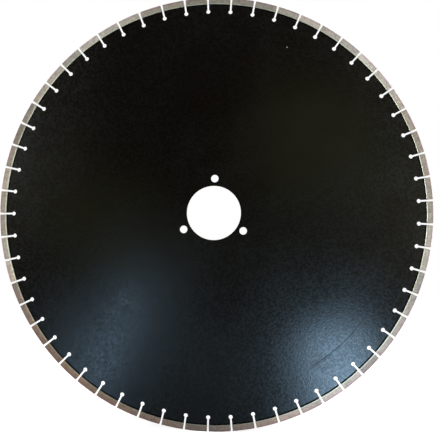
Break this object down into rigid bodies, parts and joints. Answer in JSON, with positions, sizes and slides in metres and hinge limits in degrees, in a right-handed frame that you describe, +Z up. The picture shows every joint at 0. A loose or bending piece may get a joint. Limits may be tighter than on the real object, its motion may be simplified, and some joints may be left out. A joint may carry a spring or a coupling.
{
  "type": "diamond saw blade",
  "caption": "Large round saw blade for stone and concrete: a slotted steel core with a plain bore and drive-pin holes, and diamond segments brazed round its rim.",
  "frame": {"origin": "middle of the arbor bore, halfway through the thickness of the core", "axes": "Y is the axis the blade turns about, and the face in the picture looks along -Y; +Z is up, through the middle of segment_01 and of one drive-pin hole; +X is to the right as the front is seen"},
  "size_m": [0.8, 0.005, 0.8],
  "materials": {
    "core_paint": "semi-gloss black paint over circularly ground steel",
    "segment_metal": "sintered bronze and cobalt bond with diamond grit, ground on its sides, dull grey",
    "braze_metal": "pale silver-brass brazing metal, slightly rough"
  },
  "bodies": {
    "root": {"steel_core": "core_paint", "segment_01": "segment_metal", "segment_02": "segment_metal", "segment_03": "segment_metal", "segment_04": "segment_metal", "segment_05": "segment_metal", "segment_06": "segment_metal", "segment_07": "segment_metal", "segment_08": "segment_metal", "segment_09": "segment_metal", "segment_10": "segment_metal", "segment_11": "segment_metal", "segment_12": "segment_metal", "segment_13": "segment_metal", "segment_14": "segment_metal", "segment_15": "segment_metal", "segment_16": "segment_metal", "segment_17": "segment_metal", "segment_18": "segment_metal", "segment_19": "segment_metal", "segment_20": "segment_metal", "segment_21": "segment_metal", "segment_22": "segment_metal", "segment_23": "segment_metal", "segment_24": "segment_metal", "segment_25": "segment_metal", "segment_26": "segment_metal", "segment_27": "segment_metal", "segment_28": "segment_metal", "segment_29": "segment_metal", "segment_30": "segment_metal", "segment_31": "segment_metal", "segment_32": "segment_metal", "segment_33": "segment_metal", "segment_34": "segment_metal", "segment_35": "segment_metal", "segment_36": "segment_metal", "segment_37": "segment_metal", "segment_38": "segment_metal", "segment_39": "segment_metal", "segment_40": "segment_metal", "segment_41": "segment_metal", "segment_42": "segment_metal", "segment_43": "segment_metal", "segment_44": "segment_metal", "segment_45": "segment_metal", "segment_46": "segment_metal", "segment_47": "segment_metal", "segment_48": "segment_metal", "segment_49": "segment_metal", "segment_50": "segment_metal", "segment_51": "segment_metal", "segment_52": "segment_metal", "segment_53": "segment_metal", "segment_54": "segment_metal", "segment_55": "segment_metal", "segment_56": "segment_metal", "segment_57": "segment_metal"}
  },
  "joints": []
}
